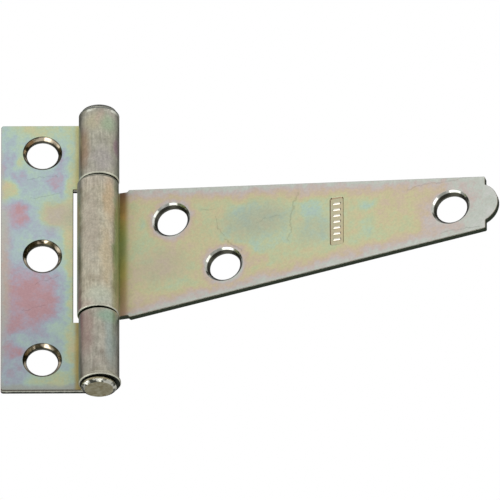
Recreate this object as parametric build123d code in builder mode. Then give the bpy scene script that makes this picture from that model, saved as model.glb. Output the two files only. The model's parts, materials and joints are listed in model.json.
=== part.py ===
"""Light T hinge: a rectangular butt leaf, a tapered strap leaf and a headed pin.

Millimetres. +Z runs up the pin, +X from the butt leaf to the strap, and -Y is the front,
where the barrel stands proud and the screws are countersunk. The origin is the centre
of the butt leaf's middle screw hole, on the back face that lies against the post.
"""

import os
from math import cos, radians, sin

from build123d import *

# Sheet and pin
sheet = 1.27
pin_radius = 2.38
butt_eye_radius = 3.8  # outside of the butt leaf's rolled knuckles
strap_eye_radius = 3.9  # the strap's knuckle is rolled a little looser
strap_eye_shift = (-0.2, -0.05)  # and hangs this far off the pin's centre, in X and Y
rolled_arc = 308.0  # each knuckle's turn, from the back of the barrel to its free end
knuckle_round = 0.3  # rolled-over outer edges of a knuckle

# Butt leaf
leaf_half_height = 28.95
hole_to_pin = 10.6
edge_to_pin = 18.35
screw_spacing = 22.65
screw_lift = 0.25  # the row of screw holes sits this far above the leaf's middle
corner_round = 0.5
slot_to_pin = 4.83  # edge of the gap that the strap's knuckle turns in
slot_half_height = 14.85
slot_corner_round = 0.3
lug_height = 0.6  # small lug that the blanking die leaves in the gap's lower corner
lug_reach = 1.1
lug_slant = 0.4
inner_knuckle_end = 14.7  # the butt leaf's knuckles run from here to the barrel's ends
top_knuckle_end = 29.45
bottom_knuckle_end = 29.3

# Lip that riveting the pin raised round the bottom knuckle, a little off centre,
# as distances from its own centre and heights above the barrel's lower end
lip_shift = (0.20, -0.10)
lip_start_angle = 60.0
lip_arc = 260.0
lip_section = [(3.2, 0), (3.75, 0), (3.9, 0.2), (3.9, 0.45), (3.5, 1.1), (3.2, 1.1)]

# Strap leaf, measured along the strap from the centre of its own knuckle
fold_angle = 15.0  # swing towards the front, from lying flat
strap_knuckle_half = 14.4
strap_root_half_width = 14.55  # of the tapered sides, carried back to the knuckle's centre
strap_taper = 0.121  # half width lost for each millimetre of length
shoulder_reach = 73.96
strap_corner_round = 0.3
tip_reach = 76.38
nose_half_chord = 3.85
relief_half_width = 13.5  # the neck beside the barrel is cut narrower
relief_reach = 4.9
relief_slant = 0.4
strap_screws = [(13.45, 6.05), (23.6, -5.35), (67.35, 0.0)]

# Screw holes, for number 6 countersunk screws
hole_radius = 2.95
countersink_radius = 3.65
countersink_angle = 82.0

# Front edges of both leaves, pressed over by the blanking die
edge_round = 0.15

# Pin heads
head_radius = 3.3
head_face_radius = 2.65
head_rim = 30.0  # height where a head's side turns into its bevel
pin_half_length = 30.4
head_gap = 0.2  # end play between a head and its knuckle
head_round = 0.1

# Plain stamped panel with a row of bars
panel_reach = 45.4
panel_lift = 0.5
panel_width = 2.7
panel_length = 10.4
panel_depth = 0.2
panel_corner_round = 0.5
bar_count = 7
bar_pitch = 1.3
bar_width = 0.6
bar_length = 1.5
bar_height = 0.2
panel_slope = 40.0  # of the panel's and the bars' sides, from square

# Directions along and behind the strap, and the lines that the knuckles are rolled round
up = Vector(0, 0, 1)
pin_centre = Vector(hole_to_pin, -butt_eye_radius, -screw_lift)
along_butt = Vector(1, 0, 0)
behind_butt = Vector(0, 1, 0)
along_strap = Vector(cos(radians(fold_angle)), -sin(radians(fold_angle)), 0)
behind_strap = Vector(sin(radians(fold_angle)), cos(radians(fold_angle)), 0)
strap_eye_centre = pin_centre + along_butt * strap_eye_shift[0] + behind_butt * strap_eye_shift[1]
lip_centre = pin_centre + along_butt * lip_shift[0] + behind_butt * lip_shift[1]

# Planes on the leaves' faces, with X along the leaf, Y up from its middle line, and the
# normal to the front
butt_back = Plane(origin=(0, 0, -screw_lift), x_dir=along_butt, z_dir=-behind_butt)
butt_front = butt_back.offset(sheet)
strap_back = Plane(
    origin=strap_eye_centre + behind_strap * strap_eye_radius,
    x_dir=along_strap,
    z_dir=-behind_strap,
)
strap_front = strap_back.offset(sheet)


def knuckle(centre, behind, outer_radius, low, high, turn):
    """Roll one knuckle round a line through centre, from the back of the barrel."""
    with BuildSketch(Plane(origin=centre, x_dir=behind, z_dir=behind.cross(up))) as section:
        with Locations((outer_radius - sheet / 2, (low + high) / 2)):
            Rectangle(sheet, high - low)
        fillet(section.vertices().group_by(Axis.X)[-1], knuckle_round)
    revolve(section.sketch, axis=Axis(centre, up), revolution_arc=turn)


def round_front_edges(leaf, front, knuckle_x):
    """Round the outline of a leaf's front face, except at knuckle_x, where its knuckle starts."""
    face = leaf.faces().sort_by(Axis(front.origin, front.z_dir))[-1]
    outline = [
        edge
        for edge in face.edges()
        if abs(front.to_local_coords(edge.center()).X - knuckle_x) > sheet
    ]
    fillet(outline, edge_round)


# Butt leaf: a plate with a gap for the strap's knuckle, and a knuckle at each end
butt_edge = hole_to_pin - edge_to_pin
slot_edge = hole_to_pin - slot_to_pin
lug_top = lug_height - slot_half_height
with BuildPart() as butt_leaf:
    with BuildSketch(butt_back) as butt_outline:
        with BuildLine():
            Polyline(
                (butt_edge, -leaf_half_height),
                (hole_to_pin, -leaf_half_height),
                (hole_to_pin, -slot_half_height),
                (slot_edge + lug_reach + lug_slant, -slot_half_height),
                (slot_edge + lug_reach, lug_top),
                (slot_edge, lug_top),
                (slot_edge, slot_half_height),
                (hole_to_pin, slot_half_height),
                (hole_to_pin, leaf_half_height),
                (butt_edge, leaf_half_height),
                close=True,
            )
        make_face()
        fillet(butt_outline.vertices().group_by(Axis.X)[0], corner_round)
        fillet(butt_outline.vertices().group_by(Axis.X)[1], slot_corner_round)
    extrude(amount=sheet)
    round_front_edges(butt_leaf, butt_front, hole_to_pin)
    knuckle(pin_centre, behind_butt, butt_eye_radius, inner_knuckle_end, top_knuckle_end, -rolled_arc)
    knuckle(
        pin_centre, behind_butt, butt_eye_radius, -bottom_knuckle_end, -inner_knuckle_end, -rolled_arc
    )
    lip_out = Vector(cos(radians(lip_start_angle)), sin(radians(lip_start_angle)), 0)
    lip_origin = lip_centre - up * bottom_knuckle_end
    with BuildSketch(Plane(origin=lip_origin, x_dir=lip_out, z_dir=lip_out.cross(up))) as lip:
        with BuildLine():
            Polyline(*lip_section, close=True)
        make_face()
    revolve(axis=Axis(lip_centre, up), revolution_arc=-lip_arc)
    with Locations(butt_front):
        with Locations((0, screw_lift)):
            with GridLocations(1, screw_spacing, 1, 3):
                CounterSinkHole(
                    hole_radius, countersink_radius, counter_sink_angle=countersink_angle
                )
butt_leaf.part.label = "butt_leaf"

# Strap leaf: a tapered plate with a lobed nose, and one knuckle between the other two
shoulder_half_width = strap_root_half_width - strap_taper * shoulder_reach
neck_end = relief_reach + relief_slant
neck_end_half_width = strap_root_half_width - strap_taper * neck_end
with BuildPart() as strap_leaf:
    with BuildSketch(strap_back) as strap_outline:
        with BuildLine():
            Polyline(
                (shoulder_reach, nose_half_chord),
                (shoulder_reach, shoulder_half_width),
                (neck_end, neck_end_half_width),
                (relief_reach, relief_half_width),
                (0, relief_half_width),
                (0, -relief_half_width),
                (relief_reach, -relief_half_width),
                (neck_end, -neck_end_half_width),
                (shoulder_reach, -shoulder_half_width),
                (shoulder_reach, -nose_half_chord),
            )
            ThreePointArc(
                (shoulder_reach, -nose_half_chord),
                (tip_reach, 0),
                (shoulder_reach, nose_half_chord),
            )
        make_face()
        outer_corners = strap_outline.vertices().sort_by(Axis.X)[2:]
        fillet(outer_corners, strap_corner_round)
    extrude(amount=sheet)
    round_front_edges(strap_leaf, strap_front, 0)
    knuckle(
        strap_eye_centre,
        behind_strap,
        strap_eye_radius,
        -strap_knuckle_half,
        strap_knuckle_half,
        rolled_arc,
    )
    with Locations(strap_front):
        with Locations(*strap_screws):
            CounterSinkHole(hole_radius, countersink_radius, counter_sink_angle=countersink_angle)
    with BuildSketch(strap_front):
        with Locations((panel_reach, panel_lift)):
            RectangleRounded(panel_width, panel_length, panel_corner_round)
    extrude(amount=-panel_depth, taper=panel_slope, mode=Mode.SUBTRACT)
    with BuildSketch(strap_front.offset(-panel_depth)):
        with Locations((panel_reach, panel_lift)):
            with GridLocations(1, bar_pitch, 1, bar_count):
                Rectangle(bar_length, bar_width)
    extrude(amount=bar_height, taper=panel_slope)
strap_leaf.part.label = "strap_leaf"

# Pin: a plain shank with a bevelled button head at each end
with BuildPart() as hinge_pin:
    with BuildSketch(Plane(origin=pin_centre, x_dir=along_butt, z_dir=-behind_butt)) as pin_half:
        with BuildLine():
            Polyline(
                (0, -pin_half_length),
                (head_face_radius, -pin_half_length),
                (head_radius, -head_rim),
                (head_radius, -bottom_knuckle_end - head_gap),
                (pin_radius, -bottom_knuckle_end - head_gap),
                (pin_radius, top_knuckle_end + head_gap),
                (head_radius, top_knuckle_end + head_gap),
                (head_radius, head_rim),
                (head_face_radius, pin_half_length),
                (0, pin_half_length),
                close=True,
            )
        make_face()
        head_corners = pin_half.vertices().group_by(Axis.X)[2:]
        fillet([corner for group in head_corners for corner in group], head_round)
    revolve(axis=Axis(pin_centre, up))
hinge_pin.part.label = "hinge_pin"

os.makedirs("parts", exist_ok=True)
for piece in (butt_leaf, strap_leaf, hinge_pin):
    export_step(piece.part, f"parts/{piece.part.label}.step")
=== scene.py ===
"""Looks of the light T hinge: plated sheet steel, in a plain white studio.

Metres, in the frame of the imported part: +Z up the pin, +X from the butt leaf to the strap,
-Y the front. All three pieces are the part's own nodes, and get their finish here.
Shaders measure in millimetres, in the same frame. A place on a leaf is (along, up): along
the leaf, and up in Z.
"""

import json
from collections import namedtuple
from math import cos, pi, radians, sin

import bpy
from mathutils import Matrix, Quaternion, Vector


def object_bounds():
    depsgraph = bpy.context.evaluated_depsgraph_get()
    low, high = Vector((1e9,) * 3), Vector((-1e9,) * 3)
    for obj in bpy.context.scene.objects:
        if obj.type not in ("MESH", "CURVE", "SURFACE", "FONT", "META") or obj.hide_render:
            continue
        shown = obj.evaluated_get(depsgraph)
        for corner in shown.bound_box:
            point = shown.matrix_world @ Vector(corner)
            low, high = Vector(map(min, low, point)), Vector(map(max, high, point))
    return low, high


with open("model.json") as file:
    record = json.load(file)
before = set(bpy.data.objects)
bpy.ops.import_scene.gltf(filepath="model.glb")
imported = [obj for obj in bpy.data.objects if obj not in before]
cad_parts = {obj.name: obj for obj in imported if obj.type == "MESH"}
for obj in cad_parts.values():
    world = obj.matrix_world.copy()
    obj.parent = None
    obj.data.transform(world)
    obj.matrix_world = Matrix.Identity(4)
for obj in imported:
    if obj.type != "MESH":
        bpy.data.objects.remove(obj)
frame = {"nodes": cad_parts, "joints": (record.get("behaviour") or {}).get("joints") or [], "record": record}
cad_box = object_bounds()

MM = 0.001
FRONT = Vector((0, -1, 0))
RIGHT = Vector((1, 0, 0))

# Where things are, from the frame
mounts = {mount["name"]: mount for mount in frame["record"]["mounts"]}
pin_centre = Vector(frame["joints"][0]["pos_m"])
strap_back = Vector(mounts["strap_back"]["axis"])
along_strap = Vector((strap_back.y, -strap_back.x, 0))
pin_place = pin_centre.dot(along_strap) / MM, pin_centre.z / MM


# ---------------------------------------------------------------- camera

VIEW_DISTANCE = 4.2  # far off, so that upright edges stay almost parallel
VIEW_ELEVATION = radians(-31.59)  # the camera looks up at the hinge
VIEW_ROLL = radians(-0.215)
VIEW_WIDTH = 93.32 * MM
VIEW_SHIFT = Vector((0.06, 0, -0.09)) * MM  # of the picture's middle, from the hinge's
FILM_WIDTH = 36.0
NEAREST, FURTHEST = 0.1, 200  # distances that the camera sees

aim = Vector(((cad_box[0].x + cad_box[1].x) / 2, pin_centre.y, pin_centre.z)) + VIEW_SHIFT
looking = Vector((0, cos(VIEW_ELEVATION), -sin(VIEW_ELEVATION)))
camera_data = bpy.data.cameras.new("camera")
camera_data.sensor_width = FILM_WIDTH
camera_data.lens = FILM_WIDTH * VIEW_DISTANCE / VIEW_WIDTH
camera_data.clip_start, camera_data.clip_end = NEAREST, FURTHEST
camera = bpy.data.objects.new("camera", camera_data)
camera.location = aim - looking * VIEW_DISTANCE
camera.rotation_mode = "QUATERNION"
camera.rotation_quaternion = (
    Quaternion((1, 0, 0), radians(90) - VIEW_ELEVATION) @ Quaternion((0, 0, 1), VIEW_ROLL)
)
bpy.context.scene.collection.objects.link(camera)
bpy.context.scene.camera = camera


# ---------------------------------------------------------------- shader writing


class Recipe:
    """A material or world being written: each method adds a node and returns its output."""

    def __init__(self, tree):
        self.tree = tree

    def node(self, kind, inputs=(), **settings):
        made = self.tree.nodes.new("ShaderNode" + kind)
        for name, value in settings.items():
            setattr(made, name, value)
        for key, value in dict(inputs).items():
            if isinstance(value, bpy.types.NodeSocket):
                self.tree.links.new(value, made.inputs[key])
            else:
                made.inputs[key].default_value = value
        return made

    def maths(self, operation, *values):
        return self.node("Math", enumerate(values), operation=operation).outputs[0]

    def product(self, first, *others):
        for other in others:
            first = self.maths("MULTIPLY", first, other)
        return first

    def total(self, first, *others):
        for other in others:
            first = self.maths("ADD", first, other)
        return first

    def blend(self, share, first, second):
        """A number between two numbers."""
        return self.total(first, self.product(share, self.maths("SUBTRACT", second, first)))

    def vector(self, operation, *values):
        made = self.node("VectorMath", enumerate(values), operation=operation)
        return made.outputs["Value" if operation in ("DOT_PRODUCT", "LENGTH") else "Vector"]

    def join(self, x=0.0, y=0.0, z=0.0):
        return self.node("CombineXYZ", {0: x, 1: y, 2: z}).outputs[0]

    def parts(self, vector):
        made = self.node("SeparateXYZ", {0: vector})
        return made.outputs[0], made.outputs[1], made.outputs[2]

    def step(self, value, start, end, low=0.0, high=1.0):
        """Goes smoothly from low, where value is start, to high, where value is end."""
        made = self.node(
            "MapRange",
            {"Value": value, "From Min": start, "From Max": end, "To Min": low, "To Max": high},
            interpolation_type="SMOOTHSTEP",
        )
        return made.outputs[0]

    def band(self, value, start, full, full_end, end):
        """1 from full to full_end, fading to 0 at start and at end."""
        return self.product(self.step(value, start, full), self.step(value, end, full_end))

    def noise(self, where, scale, detail=2.0, roughness=0.5):
        made = self.node(
            "TexNoise",
            {"Vector": where, "Scale": scale, "Detail": detail, "Roughness": roughness},
        )
        return made.outputs[0]

    def wobble(self, where, scale, amount):
        """The same place, pushed about by up to half of amount."""
        colours = self.node("TexNoise", {"Vector": where, "Scale": scale, "Detail": 3.0}).outputs[1]
        centred = self.vector("SUBTRACT", colours, (0.5, 0.5, 0.5))
        pushed = self.vector("MULTIPLY", centred, (amount, amount, amount))
        return self.vector("ADD", where, pushed)

    def mix(self, share, first, second):
        made = self.node("Mix", {0: share, 6: first, 7: second}, data_type="RGBA")
        return made.outputs[2]

    def brighten(self, colour, amount):
        return self.vector("MULTIPLY", colour, self.join(amount, amount, amount))

    def ramp(self, value, stops):
        """Colours at even steps from 0 to 1."""
        made = self.node("ValToRGB", {0: value})
        elements = made.color_ramp.elements
        while len(elements) < len(stops):
            elements.new(0.5)
        for index, colour in enumerate(stops):
            elements[index].position = index / (len(stops) - 1)
            elements[index].color = colour
        return made.outputs[0]


def paint(red, green, blue):
    """A colour from its 0 to 255 screen values, as the shaders want it."""
    shades = []
    for value in (red, green, blue):
        share = value / 255
        shades.append(share / 12.92 if share <= 0.04045 else ((share + 0.055) / 1.055) ** 2.4)
    return (*shades, 1)


# ---------------------------------------------------------------- studio

bpy.context.scene.view_settings.view_transform = "Standard"

FLOOR_DROP = 9.0  # below every view, so that the floor never hides the hinge
FLOOR_HALF_WIDTH = 60.0
FLOOR_COLOUR = 0.9, 0.9, 0.9, 1
FLOOR_ROUGHNESS = 0.9
ROOM_BRIGHTNESS = 0.85
LAMP_DISTANCE = 1.5

# Soft boxes: direction from the hinge, brightness, (length, width), way that the length runs
LAMPS = [
    ((-0.60, -0.22, -0.78), 1.7, (1.5, 0.5), (-0.87, 0.48, 0.42)),
    ((-0.56, 0.30, -0.77), 2.2, (0.4, 0.4), (1, 0, 0)),
    ((0.02, -0.08, -1.0), 1.8, (0.5, 0.22), (1, 0, 0)),
    ((0.64, -0.22, -0.74), 1.6, (0.3, 0.3), (1, 0, 0)),
    ((0.80, -0.58, -0.16), 1.3, (0.9, 0.4), (0.2, 0.1, 0.6)),
]

# Dark flags in the room: direction, cosines where each starts and is full, how much it darkens
FLAGS = [
    ((0, 0.85, 0.53), 0.1, 0.95, 0.88),
    ((0, 0.85, -0.53), 0.5, 0.95, 0.5),
    ((0.08, -0.42, -0.90), 0.94, 0.98, 0.92),
    ((0.48, -0.60, -0.64), 0.94, 0.98, 0.85),
    ((0.56, 0.30, -0.77), 0.88, 0.96, 0.8),
]


def make_floor():
    """A wide pale floor."""
    corners = [(-1, -1), (1, -1), (1, 1), (-1, 1)]
    mesh = bpy.data.meshes.new("floor")
    mesh.from_pydata(
        [(x * FLOOR_HALF_WIDTH, y * FLOOR_HALF_WIDTH, -FLOOR_DROP) for x, y in corners],
        [],
        [(0, 1, 2, 3)],
    )
    floor = bpy.data.objects.new("floor", mesh)
    bpy.context.scene.collection.objects.link(floor)
    material = bpy.data.materials.new("floor")
    material.use_nodes = True
    shader = material.node_tree.nodes["Principled BSDF"]
    shader.inputs["Base Color"].default_value = FLOOR_COLOUR
    shader.inputs["Roughness"].default_value = FLOOR_ROUGHNESS
    mesh.materials.append(material)


def soft_box(direction, brightness, size, along):
    """An area light facing the hinge, that bright as the hinge mirrors it."""
    light = bpy.data.lights.new("soft_box", "AREA")
    light.shape = "RECTANGLE"
    light.size, light.size_y = size
    light.energy = brightness * pi * light.size * light.size_y
    lamp = bpy.data.objects.new("soft_box", light)
    towards = Vector(direction).normalized()
    length = (Vector(along) - towards * towards.dot(Vector(along))).normalized()
    turn = Matrix((length, towards.cross(length), towards)).transposed()
    lamp.matrix_world = Matrix.Translation(aim + towards * LAMP_DISTANCE) @ turn.to_4x4()
    bpy.context.scene.collection.objects.link(lamp)


def make_world():
    """White behind the hinge, and a pale room to mirror, with dark flags that give it shape."""
    world = bpy.data.worlds.new("studio")
    world.use_nodes = True
    recipe = Recipe(world.node_tree)
    direction = recipe.node("TexCoord").outputs["Generated"]
    strength = ROOM_BRIGHTNESS
    for flag, start, full, share in FLAGS:
        towards = tuple(Vector(flag).normalized())
        nearness = recipe.vector("DOT_PRODUCT", direction, towards)
        strength = recipe.product(strength, recipe.step(nearness, start, full, 1.0, 1.0 - share))
    room = recipe.node("Background", {"Color": (1, 1, 1, 1), "Strength": strength})
    backdrop = recipe.node("Background", {"Color": (1, 1, 1, 1), "Strength": 1.0})
    seen = recipe.node("LightPath").outputs["Is Camera Ray"]
    both = recipe.node("MixShader", {0: seen, 1: room.outputs[0], 2: backdrop.outputs[0]})
    output = world.node_tree.nodes["World Output"]
    world.node_tree.links.new(both.outputs[0], output.inputs[0])
    bpy.context.scene.world = world


make_floor()
make_world()
for lamp_settings in LAMPS:
    soft_box(*lamp_settings)


# ---------------------------------------------------------------- zinc plate: what it looks like

# The passivated film's colours, from thin to thick, as light interferes in it
FILM = [
    paint(208, 209, 203),
    paint(198, 204, 194),
    paint(204, 192, 186),
    paint(208, 191, 168),
    paint(208, 200, 160),
    paint(198, 206, 168),
    paint(186, 208, 188),
    paint(180, 200, 198),
    paint(178, 186, 198),
    paint(188, 170, 182),
    paint(196, 158, 162),
]

# A sheared edge: its burnished and torn parts, and how deep the first goes. The torn colour also paints a
# shadow line where the front starts to round over.
BUTT_SHEARED = paint(214, 214, 200), paint(52, 56, 48), 0.72
STRAP_SHEARED = paint(88, 98, 76), paint(60, 70, 54), 0.3

# A countersink's two colours, laid in patches that are painted glints and dark reflections, how dark its
# painted shadow outline is, and the radius inside which its throat is painted dark
BUTT_CUT = paint(240, 224, 196), paint(88, 80, 58), 0.85, 3.1
STRAP_CUT = paint(228, 228, 220), paint(196, 198, 188), 0.0, 3.34
# Painted dark reflection for the throat and the outline, and painted shade on the hole's wall
CUT_SHADE = paint(64, 64, 56)
HOLE_WALL_SHADE = paint(104, 104, 92)

# Knuckles: their two metal greys, a painted highlight on their rims, and painted light at the upper seam and
# the top: a highlight over painted shade at the seam, painted glints under the top rim, and a painted dark
# reflection on the top rim
BARREL_PALE = paint(218, 211, 192)
BARREL_DULL = paint(170, 162, 144)
KNUCKLE_RIM_HIGHLIGHT = paint(222, 222, 204)
SEAM_HIGHLIGHT = paint(216, 214, 192)
SEAM_SHADOW = paint(48, 46, 34)
TOP_GLINTS = paint(238, 238, 222)
TOP_EDGE_SHADE = paint(92, 92, 86)

# Front rims: rubbed pale, or painted shade where they look down or to +X
RIM_RUBBED = paint(176, 178, 164)
RIM_SHADE = paint(58, 54, 46)

# The stamped panel: painted shade on its sides, its tan floor, and a painted highlight on its bars
PANEL_SIDE_SHADE = paint(124, 100, 76)
PANEL_FLOOR = paint(206, 180, 154)
PANEL_BAR_HIGHLIGHT = paint(236, 231, 216)

PIN_METAL = [paint(150, 140, 108), paint(170, 164, 136), paint(188, 184, 158)]
# Painted shade on the top head's side, and painted dark reflections and glints, in patches, on the heads'
# bevels
PIN_TOP_SIDE_SHADE = paint(108, 108, 104)
BEVEL_DARK_REFLECTION = paint(84, 86, 78)
BEVEL_GLINT = paint(236, 236, 222)

# How much each covers what is under it, then brightness on two knuckles and in a scratch
BARREL_SHARE = 0.88
VALLEY_SHARE = 0.85
TOP_GLINTS_SHARE = 0.8
PANEL_SIDE_SHADE_SHARE, PANEL_FLOOR_SHARE = 0.9, 0.45
UPPER_KNUCKLE, LOWER_KNUCKLE = 0.76, 0.9
SCRATCHED = 0.8

# Roughness, and for the uneven ones its least and most
LEAF_ROUGHNESS = 0.34, 0.44
BARREL_ROUGHNESS = 0.28, 0.38
EDGE_ROUGHNESS = 0.5
RIM_ROUGHNESS = 0.22
BURR_ROUGHNESS = 0.42
CUT_ROUGHNESS, THROAT_ROUGHNESS = 0.13, 0.3
PIN_ROUGHNESS = 0.34, 0.46
PIN_FACE_ROUGHNESS = 0.2

# Relief, in micrometres
SKIN, ROLLED, TURNED, TORN = 5.0, 9.0, 3.0, 12.0
PIN_RINGS, PIN_DENTS = 3.0, 30.0

# How squarely a surface faces the way that its leaf's front does, as a cosine: where a mark
# starts and where it is full, or a band's four values
FRONT_FACING = 0.45, 0.6
BACK_FACING = -0.5, -0.8
EDGE_FACING = 0.45, 0.2
RIM_FACING = 0.2, 0.5, 0.8, 0.97

# The same for facing straight up or down
KNUCKLE_END_FACING = 0.8, 0.95
KNUCKLE_RIM_HIGHLIGHT_FACING = 0.15, 0.4, 0.8, 0.95
BEVEL_FACING = 0.3, 0.45, 0.88, 0.97
PIN_SIDE_FACING = 0.4, 0.3
PIN_FACE_FACING = 0.9, 0.98

# Reach from the pin: where the barrel's marks start and are full, where those of the flat part
# start and are full, and where the valleys' colour is full
BARREL_REACH = 4.3, 4.05
FLAT_REACH = 4.1, 4.4
POOL_REACH = 4.8

# Heights on the barrel, from the pin's middle
SEAM = 14.4, 15.0
# The next four are where light and shade are painted at the upper seam and at the top
SEAM_HIGHLIGHT_HEIGHT = 14.5, 14.7, 14.9, 15.1
SEAM_SHADOW_HEIGHT = 13.95, 14.1, 14.5, 14.6
TOP_GLINTS_HEIGHT = 28.35, 28.55
TOP_EDGE_SHADE_HEIGHT = 28.92, 29.05
PIN_TOP_HEIGHT = 29.3, 29.5

# Sheet, screw holes and stamped panel. Depths are from the front face: a band's four for the
# panel, and where the bars' colour starts and is full.
SHEET = 1.27
CUT_RADIUS = 3.65  # of a countersink at the front face
FAR = 100.0  # further than any hole's marks go
PANEL_DEPTH = 0.01, 0.04, 0.23, 0.26
BAR_DEPTH = 0.17, 0.1
BARS_PLACE = 45.22, 0.5  # the bars' middle, from the pin
BARS_HALF = 0.9, 4.4  # half sizes round them all
BARS_FADE = 0.1

# Half the strap's width, as in the part: at the pin, and how it tapers
STRAP_ROOT_HALF_WIDTH = 14.55
STRAP_TAPER = 0.121
STRAP_TIP = 76.2  # distance of the nose's end from the pin

# The strap's film by its edges and holes: thickness there, gain per millimetre from there, and
# how softly that meets the rest. By a hole, it is 0 at a radius.
EDGE_FILM, EDGE_GAIN, EDGE_SOFTNESS = 0.08, 0.105, 0.12
HOLE_FILM_RADIUS, HOLE_GAIN, HOLE_SOFTNESS = 2.45, 0.16, 0.1

# Film along the strap's middle, at even steps from the pin to the tip
STRAP_MIDDLE = [0.46, 0.41, 0.43, 0.50, 0.53, 0.52, 0.50, 0.43, 0.34, 0.15, 0.03]

# Stains in the film, on the butt leaf and, from the pin, on the strap: place, half sizes,
# thickness, share
BUTT_STAINS = [
    ((0.0, 28.3), (9.0, 2.6), 0.48, 0.9),
    ((-6.6, 25.5), (2.6, 4.5), 0.68, 0.8),
    ((3.8, 25.5), (2.6, 3.6), 0.60, 0.8),
    ((-4.2, 21.6), (1.2, 3.0), 0.50, 0.8),
    ((4.6, 20.0), (2.2, 4.5), 0.80, 0.9),
    ((-4.0, 17.0), (1.6, 1.6), 0.88, 0.7),
    ((2.4, 16.3), (2.2, 2.4), 0.93, 0.9),
    ((-1.5, 15.0), (3.0, 2.4), 0.76, 0.8),
    ((-7.2, 14.6), (2.4, 2.6), 0.42, 1.0),
    ((-1.0, 12.0), (5.0, 1.8), 0.62, 0.9),
    ((-4.8, 9.2), (2.2, 3.0), 1.00, 0.95),
    ((2.8, 9.0), (3.2, 2.9), 0.31, 1.0),
    ((1.3, 5.4), (2.4, 1.8), 0.79, 0.9),
    ((4.6, 4.4), (1.4, 2.8), 0.42, 0.9),
    ((-4.4, 3.0), (2.2, 3.6), 0.68, 0.8),
    ((-7.2, -4.0), (1.4, 9.0), 0.90, 0.7),
    ((-1.6, -9.6), (5.2, 5.8), 1.00, 1.0),
    ((-4.2, -15.0), (2.6, 3.0), 0.95, 0.8),
    ((4.1, -9.0), (1.4, 7.0), 0.78, 0.9),
    ((0.6, -16.0), (2.6, 2.2), 0.80, 0.9),
    ((-3.4, -18.2), (2.6, 1.8), 0.70, 0.8),
    ((3.6, -16.2), (2.6, 2.8), 0.66, 1.0),
    ((-5.4, -20.8), (1.8, 1.8), 0.97, 0.9),
    ((-5.4, -25.2), (3.2, 3.0), 0.82, 0.8),
    ((1.6, -27.0), (4.8, 1.9), 0.50, 0.9),
    ((5.8, -22.0), (1.8, 4.6), 0.46, 0.9),
    ((4.2, -24.0), (1.2, 1.4), 0.76, 0.9),
    ((5.6, 4.0), (1.5, 24.0), 0.44, 0.9),
    ((-6.4, 5.0), (1.6, 5.0), 0.86, 0.6),
]
STRAP_STAINS = [
    ((9.0, 6.0), (2.0, 2.6), 0.62, 0.5),
    ((13.0, -1.0), (4.0, 3.0), 0.34, 0.6),
    ((20.0, -3.0), (4.0, 4.0), 0.38, 0.6),
    ((27.0, 5.0), (3.0, 3.0), 0.58, 0.5),
    ((36.0, -6.0), (13.0, 3.0), 0.45, 0.8),
    ((35.0, 4.0), (4.0, 2.0), 0.56, 0.5),
    ((29.0, -5.4), (3.0, 1.6), 0.28, 0.7),
    ((40.0, 3.6), (1.6, 2.0), 0.70, 0.3),
    ((41.5, -2.6), (1.4, 1.8), 0.70, 0.3),
    ((51.0, 4.0), (1.8, 2.0), 0.66, 0.7),
]

# Where a leaf's colour is dulled: place, half sizes, tint, share
BUTT_DULLED = [
    ((3.2, 8.8), (3.4, 3.2), paint(188, 184, 166), 0.6),
    ((-7.6, -3.0), (1.6, 16.0), paint(196, 184, 168), 0.75),
    ((-7.8, 0.0), (0.5, 60.0), paint(186, 188, 180), 0.6),
    ((0.0, -29.2), (40.0, 1.1), paint(176, 180, 172), 0.9),
]
STRAP_DULLED = [
    ((41.0, 3.0), (6.5, 3.6), paint(172, 178, 164), 0.55),
    ((52.0, -1.0), (3.6, 3.0), paint(176, 184, 168), 0.4),
    ((22.5, -4.0), (5.0, 4.0), paint(186, 180, 164), 0.4),
]

# Stains on the knuckles: (x, z) from the pin, half sizes, tint, share. The first is painted shade down the
# barrel's left side.
BARREL_STAINS = [
    ((-4.0, 0.0), (0.8, 60.0), paint(92, 88, 74), 0.75),
    ((-3.1, 20.6), (1.3, 4.4), paint(176, 128, 80), 0.7),
    ((3.4, 21.2), (0.6, 1.8), paint(168, 116, 142), 0.7),
    ((-1.0, 26.2), (1.9, 1.7), paint(214, 202, 168), 0.8),
    ((0.3, 26.8), (0.9, 1.4), paint(218, 192, 172), 0.7),
    ((1.7, 25.8), (1.5, 1.9), paint(178, 198, 160), 0.75),
    ((0.8, 18.0), (1.8, 3.0), paint(196, 184, 184), 0.5),
    ((2.0, 9.0), (1.2, 5.0), paint(206, 176, 140), 0.7),
    ((1.4, -4.0), (1.2, 7.0), paint(206, 184, 150), 0.6),
    ((3.6, 0.0), (0.9, 14.0), paint(140, 164, 110), 0.8),
    ((-1.4, 3.0), (1.6, 9.0), paint(184, 172, 160), 0.7),
    ((0.4, -12.0), (2.6, 2.0), paint(196, 204, 186), 0.8),
    ((-2.6, -19.5), (1.6, 5.5), paint(186, 150, 138), 0.7),
    ((2.2, -21.0), (1.2, 6.0), paint(180, 194, 186), 0.8),
    ((1.6, -16.4), (1.8, 1.4), paint(166, 196, 170), 0.8),
]

# Scratches: from and to, and half width
BUTT_SCRATCHES = [
    ((-3.0, 16.8), (2.5, 17.8), 0.18),
    ((-2.0, 12.6), (3.2, 14.0), 0.18),
    ((-1.0, -6.0), (3.0, -4.5), 0.15),
    ((-3.5, -12.0), (0.5, -10.5), 0.15),
]
STRAP_SCRATCHES = [
    ((49.2, 8.0), (47.6, 2.0), 0.25),
    ((47.6, 2.0), (47.0, -2.0), 0.2),
    ((40.8, 2.2), (45.6, 3.4), 0.15),
    ((34.5, 0.5), (38.0, -3.5), 0.2),
    ((33.0, 5.0), (34.4, 1.0), 0.2),
    ((30.0, 6.8), (32.2, 6.2), 0.15),
    ((76.5, -6.0), (84.0, -5.6), 0.2),
    ((70.0, 5.2), (83.5, 5.6), 0.15),
]

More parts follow.
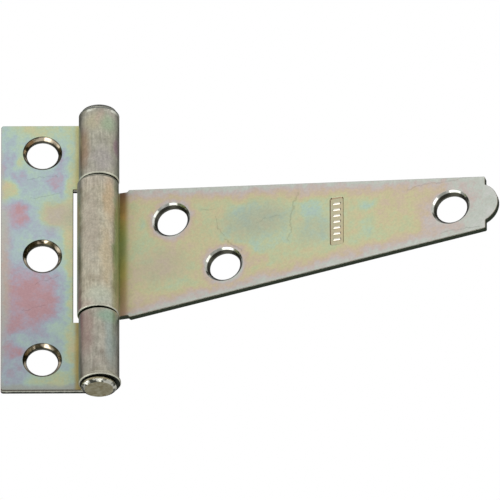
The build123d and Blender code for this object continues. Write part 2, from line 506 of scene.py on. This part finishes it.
# Valleys beside the knuckles: their reach from the pin, half height, and tints from low to high: pooled film
# colour, with painted shade where the leaf meets the barrel, darkest at the strap's top
BUTT_VALLEY = 5.5, 29.0, [
    paint(190, 170, 104),
    paint(196, 172, 108),
    paint(186, 184, 130),
    paint(206, 200, 140),
]
STRAP_VALLEY = 5.9, 14.5, [
    paint(190, 156, 138),
    paint(192, 162, 116),
    paint(192, 172, 98),
    paint(176, 168, 98),
    paint(156, 160, 104),
    paint(152, 160, 100),
    paint(172, 162, 92),
    paint(190, 148, 78),
    paint(120, 82, 58),
]

# One leaf to finish: its front faces out, and it runs along. film_thickness writes the
# thickness of its film. stains, dulled, valley, scratches, sheared and cutting are as in the
# tables above. The field after sheared is how dark the painted shade is on the rims that look
# down or to +X. bars is where the panel's bars are and their half sizes, or None. front_level
# is the front face's distance along out. screw_holes are the holes' places. shading is painted
# light, how brightness drifts along the leaf on axis 0 or up on axis 2: axis, start,
# brightness there, end, brightness there.
Leaf = namedtuple(
    "Leaf",
    "name out along film_thickness stains dulled valley scratches sheared grime cutting bars "
    "front_level screw_holes shading",
)


# ---------------------------------------------------------------- zinc plate: how it is written


class Plate(Recipe):
    """The zinc finish of one piece, on its own material. Lengths are in millimetres."""

    def __init__(self, name):
        self.material = bpy.data.materials.new(name)
        self.material.use_nodes = True
        super().__init__(self.material.node_tree)
        coordinates = self.node("TexCoord")
        self.place = self.vector("SCALE", coordinates.outputs["Object"])
        self.place.node.inputs["Scale"].default_value = 1 / MM
        self.facing = coordinates.outputs["Normal"]
        self.upright = self.maths("ABSOLUTE", self.parts(self.facing)[2])
        offset = self.vector("SUBTRACT", self.place, tuple(pin_centre / MM))
        self.from_pin = self.vector("LENGTH", self.vector("MULTIPLY", offset, (1, 1, 0)))
        self.height = self.parts(offset)[2]

    def patch(self, where, centre, size):
        """1 well within an ellipse of that half size, fading to 0 outside it."""
        offset = self.vector("SUBTRACT", where, (centre[0], 0, centre[1]))
        reach = self.vector("LENGTH", self.vector("MULTIPLY", offset, (1 / size[0], 0, 1 / size[1])))
        return self.step(reach, 1.5, 0.35)

    def stain(self, colour, where, stains):
        """The colour, with stains of their own tints painted over it."""
        for centre, size, tint, share in stains:
            colour = self.mix(self.product(self.patch(where, centre, size), share), colour, tint)
        return colour

    def distance(self, where, centre):
        """Distance from a centre over the leaf's face."""
        offset = self.vector("SUBTRACT", where, (centre[0], 0, centre[1]))
        return self.vector("LENGTH", self.vector("MULTIPLY", offset, (1, 0, 1)))

    def scratch(self, where, start, end, width):
        """1, darkened along a line between two places, of that half width."""
        first = Vector((start[0], 0, start[1]))
        run = Vector((end[0], 0, end[1])) - first
        offset = self.vector("SUBTRACT", where, tuple(first))
        share = self.maths("DIVIDE", self.vector("DOT_PRODUCT", offset, tuple(run)), run.length_squared)
        share = self.maths("MINIMUM", self.maths("MAXIMUM", share, 0.0), 1.0)
        nearest = self.join(x=self.product(share, run.x), z=self.product(share, run.z))
        gap = self.vector("MULTIPLY", self.vector("SUBTRACT", offset, nearest), (1, 0, 1))
        return self.step(self.vector("LENGTH", gap), 0.0, width, SCRATCHED, 1.0)

    def finish(self, colour, roughness, height):
        """Metal of that colour and roughness, with a relief of that height in micrometres."""
        shader = self.material.node_tree.nodes["Principled BSDF"]
        bump = self.node("Bump", {"Height": height, "Distance": 0.001 * MM, "Strength": 1.0})
        shader.inputs["Metallic"].default_value = 1.0
        self.tree.links.new(colour, shader.inputs["Base Color"])
        self.tree.links.new(roughness, shader.inputs["Roughness"])
        self.tree.links.new(bump.outputs[0], shader.inputs["Normal"])
        return self.material


class LeafPlate(Plate):
    """The zinc finish of one leaf, written layer by layer, each painted over the last."""

    def __init__(self, leaf):
        super().__init__(leaf.name)
        self.leaf = leaf

        # Where a point is: over the leaf's face, how deep in the sheet, and the way it faces
        self.flat = self.vector("DOT_PRODUCT", self.facing, tuple(leaf.out))
        along = self.vector("DOT_PRODUCT", self.place, tuple(leaf.along))
        level = self.vector("DOT_PRODUCT", self.place, tuple(leaf.out))
        self.depth = self.maths("SUBTRACT", leaf.front_level, level)
        self.spot = self.join(along, level, self.parts(self.place)[2])
        self.on_face = self.vector("MULTIPLY", self.spot, (1, 0, 1))
        self.ragged = self.wobble(self.wobble(self.spot, 0.35, 2.6), 1.2, 0.7)

        # The back has its stains upside down, and none of the front's cuts and scratches
        self.behind = self.step(self.flat, *BACK_FACING)
        ragged_along, ragged_level, up = self.parts(self.ragged)
        upside_down = self.maths("SUBTRACT", 2 * pin_place[1], up)
        self.stained = self.join(ragged_along, ragged_level, self.blend(self.behind, up, upside_down))

        # What part of the leaf it is on
        self.barrel = self.step(self.from_pin, *BARREL_REACH)
        self.off_barrel = self.step(self.from_pin, *FLAT_REACH)
        self.facing_front = self.step(self.flat, *FRONT_FACING)
        self.rim = self.product(self.band(self.flat, *RIM_FACING), self.off_barrel)
        sideways = self.step(self.maths("ABSOLUTE", self.flat), *EDGE_FACING)
        sheared = self.product(sideways, self.off_barrel)
        knuckle_ends = self.product(self.step(self.upright, *KNUCKLE_END_FACING), self.barrel)
        self.edge = self.maths("MAXIMUM", sheared, knuckle_ends)

        # Countersinks: cut is inside one, and turned is the distance from the nearest centre
        self.cut = 0.0
        self.turned = FAR
        for centre in leaf.screw_holes:
            reach = self.distance(self.spot, centre)
            inside = self.step(reach, CUT_RADIUS + 0.1, CUT_RADIUS - 0.02)
            self.cut = self.maths("MAXIMUM", self.cut, inside)
            self.turned = self.maths("MINIMUM", self.turned, reach)
        self.cut = self.product(self.cut, self.maths("SUBTRACT", 1.0, self.behind))
        self.cone = self.product(self.cut, self.facing_front)
        # Inside the throat radius the cut takes a painted dark reflection
        throat_radius = leaf.cutting[-1]
        self.throat = self.step(self.turned, throat_radius + 0.07, throat_radius - 0.07)

        # Textures that several layers share
        lengthwise = self.vector("MULTIPLY", self.place, (1, 1, 0.12))
        self.streaks = self.noise(self.wobble(lengthwise, 0.8, 0.5), 2.2, 4.0, 0.62)
        self.blotches = self.noise(self.wobble(self.place, 0.5, 1.5), 0.4, 4.0, 0.6)
        self.tears = self.noise(self.vector("MULTIPLY", self.spot, (1, 0.15, 1)), 5.0, 3.0, 0.7)
        # A painted highlight on the knuckles' rounded rims, in patches
        self.knuckle_rim_highlight = self.product(
            self.band(self.upright, *KNUCKLE_RIM_HIGHLIGHT_FACING),
            self.barrel,
            self.step(self.tears, 0.2, 0.5, 0.6, 1.0),
        )

    def film(self):
        """Film colour, in clouds and with a fine mottle."""
        clouds = self.noise(self.place, 0.5, 2.0, 0.6)
        grain = self.noise(self.place, 1.3, 5.0, 0.75)
        thickness = self.total(
            self.leaf.film_thickness(self),
            self.step(clouds, 0.35, 0.65, -0.04, 0.04),
            self.step(grain, 0.25, 0.75, -0.05, 0.05),
        )
        return self.stain(self.ramp(thickness, FILM), self.ragged, self.leaf.dulled)

    def stained_film(self, thickness, stains, middle=(0, 0)):
        """The film's thickness, with stains where it is another. Places are from middle."""
        for centre, size, stain_thickness, share in stains:
            place = centre[0] + middle[0], centre[1] + middle[1]
            mask = self.product(self.patch(self.stained, place, size), share)
            thickness = self.blend(mask, thickness, stain_thickness)
        return thickness

    def knuckles(self, colour):
        """Greyer and streaked along the pin by rolling, with stains of their own, one of them painted shade
        down the left side, and rings of painted light at the seam and the top.
        """
        greys = self.step(self.total(self.streaks, self.blotches), 0.7, 1.3)
        worn = self.mix(greys, BARREL_DULL, BARREL_PALE)
        ragged = self.wobble(self.join(x=self.parts(self.place)[0], z=self.height), 0.4, 1.6)
        beside_pin = self.vector("SUBTRACT", ragged, (pin_centre.x / MM, 0, 0))
        worn = self.stain(worn, beside_pin, BARREL_STAINS)

        # The butt leaf's two knuckles are duller than the strap's
        seam_start, seam_end = SEAM
        upper = self.step(self.height, seam_start, seam_end, 1.0, UPPER_KNUCKLE)
        lower = self.step(self.height, -seam_start, -seam_end, 1.0, LOWER_KNUCKLE)
        worn = self.brighten(worn, self.product(upper, lower))

        # Painted light at the upper seam and at the top: a painted highlight on the upper knuckle's lower
        # rim, painted shade in the seam below it, painted glints in patches under the top rim, and a painted
        # dark reflection on the top rim itself
        wear_and_glints = self.product(
            self.step(self.height, *TOP_GLINTS_HEIGHT),
            self.step(self.blotches, 0.4, 0.55),
            TOP_GLINTS_SHARE,
        )
        worn = self.mix(self.band(self.height, *SEAM_HIGHLIGHT_HEIGHT), worn, SEAM_HIGHLIGHT)
        worn = self.mix(wear_and_glints, worn, TOP_GLINTS)
        worn = self.mix(self.step(self.height, *TOP_EDGE_SHADE_HEIGHT), worn, TOP_EDGE_SHADE)
        worn = self.mix(self.band(self.height, *SEAM_SHADOW_HEIGHT), worn, SEAM_SHADOW)
        return self.mix(self.product(self.barrel, BARREL_SHARE), colour, worn)

    def valleys(self, colour):
        """Pooled film colour beside the knuckles, and painted shade in the valley there."""
        reach, half_height, tints = self.leaf.valley
        valley = self.maths("SUBTRACT", self.step(self.from_pin, reach, POOL_REACH), self.barrel)
        ragged_height = self.parts(self.wobble(self.place, 0.5, 2.5))[2]
        pooled_film_and_shade = self.ramp(self.step(ragged_height, -half_height, half_height), tints)
        return self.mix(self.product(valley, VALLEY_SHARE), colour, pooled_film_and_shade)

    def shade(self, colour):
        """Fine specks, scratches, and painted light: the leaf's slow change of brightness."""
        specks = self.noise(self.place, 2.4, 5.0, 0.75)
        on_leaf = self.step(specks, 0.3, 0.7, 0.92, 1.05)
        on_barrel = self.step(specks, 0.35, 0.65, 0.84, 1.1)
        shade = self.blend(self.barrel, on_leaf, on_barrel)
        scratched = 1.0
        for start, end, width in self.leaf.scratches:
            scratched = self.product(scratched, self.scratch(self.ragged, start, end, width))
        shade = self.product(shade, self.blend(self.behind, scratched, 1.0))
        # Painted light: the butt leaf darker towards the bottom, the strap darker by the pin
        axis, start, low, end, high = self.leaf.shading
        painted_light = self.step(self.parts(self.spot)[axis], start, end, low, high)
        return self.brighten(colour, self.product(shade, painted_light))

    def rims(self, colour):
        """Rounded front edges: rubbed pale in places, with painted shade where they look down or to +X."""
        wear_and_glints = self.step(self.noise(self.place, 0.9, 3.0), 0.35, 0.65, 0.3, 0.9)
        colour = self.mix(self.product(self.rim, wear_and_glints), colour, RIM_RUBBED)
        facing_x, _, facing_z = self.parts(self.facing)
        down_or_x = self.maths("MAXIMUM", facing_x, self.product(facing_z, -1.0))
        shaded_rim = self.product(self.rim, self.step(down_or_x, 0.15, 0.4), self.leaf.grime)
        return self.mix(shaded_rim, colour, RIM_SHADE)

    def sheared_edges(self, colour):
        """A painted shadow line where it starts to round over, then burnished, then torn towards the back.
        """
        burnished, torn, burnish_depth = self.leaf.sheared
        ragged_depth = self.product(self.noise(self.on_face, 0.8, 3.0, 0.6), 0.5)
        torn_from = self.total(ragged_depth, burnish_depth - 0.25)
        tearing = self.step(self.maths("SUBTRACT", self.depth, torn_from), -0.1, 0.1)
        edge = self.mix(tearing, burnished, torn)
        # Painted shadow: the torn colour where the front starts to round over
        edge = self.mix(self.step(self.depth, 0.34, 0.2), edge, torn)
        edge = self.brighten(edge, self.step(self.tears, 0.3, 0.7, 0.8, 1.15))
        return self.mix(self.edge, colour, edge)

    def countersinks(self, colour):
        """Painted glints and dark reflections in patches on the cut, a painted shadow outline, a painted
        dark reflection towards the hole, and painted shade on the hole's wall.
        """
        pale, dull, outline, _ = self.leaf.cutting
        shifted = self.vector("ADD", self.spot, (1.7, 0, 0.9))
        # Patches of painted glints and dark reflections, with a painted shadow outline
        glint_patches = self.step(self.noise(shifted, 0.42, 2.0, 0.6), 0.42, 0.56)
        outer = self.step(self.turned, CUT_RADIUS - 0.15, CUT_RADIUS - 0.05, 0.0, outline)
        metal = self.mix(outer, self.mix(glint_patches, dull, pale), CUT_SHADE)
        cut = self.mix(self.cone, HOLE_WALL_SHADE, self.mix(self.throat, metal, CUT_SHADE))
        return self.mix(self.cut, colour, cut)

    def knuckle_rim_highlights(self, colour):
        """A painted highlight on the knuckles' rounded rims, in patches."""
        return self.mix(self.knuckle_rim_highlight, colour, KNUCKLE_RIM_HIGHLIGHT)

    def panel(self, colour):
        """Tan inside, painted shade on the sides, and a painted highlight on the bars. The leaf's
        rims are as deep as the panel, and take the same painted shade.
        """
        stamped = self.product(
            self.band(self.depth, *PANEL_DEPTH),
            self.facing_front,
            self.maths("SUBTRACT", 1.0, self.cut),
            self.off_barrel,
        )
        floor = self.step(self.flat, 0.85, 0.95)
        share = self.product(stamped, self.blend(floor, PANEL_SIDE_SHADE_SHARE, PANEL_FLOOR_SHARE))
        colour = self.mix(share, colour, self.mix(floor, PANEL_SIDE_SHADE, PANEL_FLOOR))
        if not self.leaf.bars:
            return colour
        centre, half = self.leaf.bars
        offset = self.vector("SUBTRACT", self.spot, (centre[0], 0, centre[1]))
        across, _, lengthwise = self.parts(self.vector("ABSOLUTE", offset))
        bars = self.product(
            self.step(across, half[0], half[0] - BARS_FADE),
            self.step(lengthwise, half[1], half[1] - BARS_FADE),
            self.step(self.depth, *BAR_DEPTH),
        )
        return self.mix(bars, colour, PANEL_BAR_HIGHLIGHT)

    def gloss(self):
        """Roughness: the flats are satin, and the countersinks nearly mirror."""
        roughness = self.step(self.noise(self.place, 0.5, 3.0), 0.3, 0.7, *LEAF_ROUGHNESS)
        streaked = self.step(self.streaks, 0.3, 0.7, *BARREL_ROUGHNESS)
        roughness = self.blend(self.barrel, roughness, streaked)
        roughness = self.blend(self.edge, roughness, EDGE_ROUGHNESS)
        roughness = self.blend(self.rim, roughness, RIM_ROUGHNESS)
        roughness = self.blend(self.knuckle_rim_highlight, roughness, BURR_ROUGHNESS)
        in_hole = self.blend(self.throat, CUT_ROUGHNESS, THROAT_ROUGHNESS)
        return self.blend(self.cut, roughness, in_hole)

    def relief(self):
        """Height of the plating's skin, rolling streaks, turning marks and tears."""
        marks = self.noise(self.join(x=self.turned), 9.0, 2.0)
        return self.total(
            self.product(self.noise(self.place, 2.6, 4.0, 0.7), SKIN),
            self.product(self.streaks, self.barrel, ROLLED),
            self.product(marks, self.cone, TURNED),
            self.product(self.tears, self.edge, TORN),
        )

    def plated(self):
        """Writes every layer, and returns the material."""
        colour = self.film()
        for layer in (
            self.knuckles,
            self.valleys,
            self.shade,
            self.rims,
            self.sheared_edges,
            self.countersinks,
            self.knuckle_rim_highlights,
            self.panel,
        ):
            colour = layer(colour)
        return self.finish(colour, self.gloss(), self.relief())


def butt_film(plate):
    """Film thickness over the butt leaf: cyan to lilac, with stains."""
    broad = plate.step(plate.noise(plate.ragged, 0.1, 2.0, 0.45), 0.3, 0.7, 0.62, 0.84)
    return plate.stained_film(broad, plate.leaf.stains)


def strap_film(plate):
    """Film thickness over the strap: thick along its middle, thin by edges, holes and tip."""
    along, _, up = plate.parts(plate.ragged)
    along = plate.maths("SUBTRACT", along, pin_place[0])
    up = plate.maths("SUBTRACT", up, pin_place[1])
    stops = [(thickness, thickness, thickness, 1) for thickness in STRAP_MIDDLE]
    middle = plate.ramp(plate.maths("DIVIDE", along, STRAP_TIP), stops)
    broad = plate.step(plate.noise(plate.ragged, 0.16, 2.0, 0.5), 0.3, 0.7, -0.06, 0.06)
    film = plate.stained_film(plate.total(middle, broad), plate.leaf.stains, pin_place)
    half_width = plate.maths("SUBTRACT", STRAP_ROOT_HALF_WIDTH, plate.product(along, STRAP_TAPER))
    inside = plate.maths("SUBTRACT", half_width, plate.maths("ABSOLUTE", up))
    by_edge = plate.total(plate.product(inside, EDGE_GAIN), EDGE_FILM)
    film = plate.maths("SMOOTH_MIN", film, by_edge, EDGE_SOFTNESS)
    for centre in plate.leaf.screw_holes:
        reach = plate.maths("SUBTRACT", plate.distance(plate.ragged, centre), HOLE_FILM_RADIUS)
        film = plate.maths("SMOOTH_MIN", film, plate.product(reach, HOLE_GAIN), HOLE_SOFTNESS)
    return film


def plated_pin():
    """Dull zinc, with painted glints and dark reflections in patches on both heads' bevels, and painted
    shade on the top head's side.
    """
    plate = Plate("zinc_pin")
    mottle = plate.noise(plate.wobble(plate.place, 0.8, 1.0), 1.2, 4.0, 0.6)
    colour = plate.ramp(plate.step(mottle, 0.3, 0.7), PIN_METAL)
    # Painted shade on the top head's side, then painted glints and dark reflections on the bevels
    at_top = plate.step(plate.height, *PIN_TOP_HEIGHT)
    side = plate.step(plate.upright, *PIN_SIDE_FACING)
    colour = plate.mix(plate.product(at_top, side), colour, PIN_TOP_SIDE_SHADE)
    bevel = plate.band(plate.upright, *BEVEL_FACING)
    bevel_glints = plate.step(plate.noise(plate.place, 0.75, 2.0, 0.6), 0.42, 0.6)
    colour = plate.mix(bevel, colour, plate.mix(bevel_glints, BEVEL_DARK_REFLECTION, BEVEL_GLINT))
    face = plate.step(plate.upright, *PIN_FACE_FACING)
    uneven = plate.step(mottle, 0.3, 0.7, *PIN_ROUGHNESS)
    roughness = plate.blend(face, PIN_FACE_ROUGHNESS, uneven)
    rings = plate.noise(plate.join(x=plate.from_pin), 6.0, 2.0)
    dents = plate.noise(plate.place, 1.1, 3.0, 0.6)
    relief = plate.total(plate.product(rings, PIN_RINGS), plate.product(dents, PIN_DENTS))
    return plate.finish(colour, roughness, relief)


# ---------------------------------------------------------------- zinc plate: the three pieces


def strap_holes():
    """Places of the strap's screw holes, in millimetres."""
    places = []
    for name in ("strap_screw_upper", "strap_screw_lower", "strap_screw_nose"):
        centre = Vector(mounts[name]["pos_m"]) / MM
        places.append((centre.dot(along_strap), centre.z))
    return places


def butt_holes():
    """Places of the butt leaf's screw holes, in millimetres."""
    middle = Vector(mounts["butt_screws"]["pos_m"]) / MM
    half = mounts["butt_screws"]["dims"]["spacing_y_mm"] / 2
    return [(middle.x, middle.z + step * half) for step in (-1, 0, 1)]


butt = Leaf(
    name="zinc_butt_leaf",
    out=FRONT,
    along=RIGHT,
    film_thickness=butt_film,
    stains=BUTT_STAINS,
    dulled=BUTT_DULLED,
    valley=BUTT_VALLEY,
    scratches=BUTT_SCRATCHES,
    sheared=BUTT_SHEARED,
    grime=0.85,
    cutting=BUTT_CUT,
    bars=None,
    front_level=SHEET,
    screw_holes=butt_holes(),
    shading=(2, -26, 0.85, 6, 1.1),
)
strap = Leaf(
    name="zinc_strap_leaf",
    out=-strap_back,
    along=along_strap,
    film_thickness=strap_film,
    stains=STRAP_STAINS,
    dulled=STRAP_DULLED,
    valley=STRAP_VALLEY,
    scratches=STRAP_SCRATCHES,
    sheared=STRAP_SHEARED,
    grime=0.0,
    cutting=STRAP_CUT,
    bars=((pin_place[0] + BARS_PLACE[0], pin_place[1] + BARS_PLACE[1]), BARS_HALF),
    front_level=(Vector(mounts["strap_back"]["pos_m"]) / MM).dot(-strap_back) + SHEET,
    screw_holes=strap_holes(),
    shading=(0, 10, 0.98, 70, 1.1),
)

frame["nodes"]["butt_leaf"].material_slots[0].material = LeafPlate(butt).plated()
frame["nodes"]["strap_leaf"].material_slots[0].material = LeafPlate(strap).plated()
frame["nodes"]["hinge_pin"].material_slots[0].material = plated_pin()
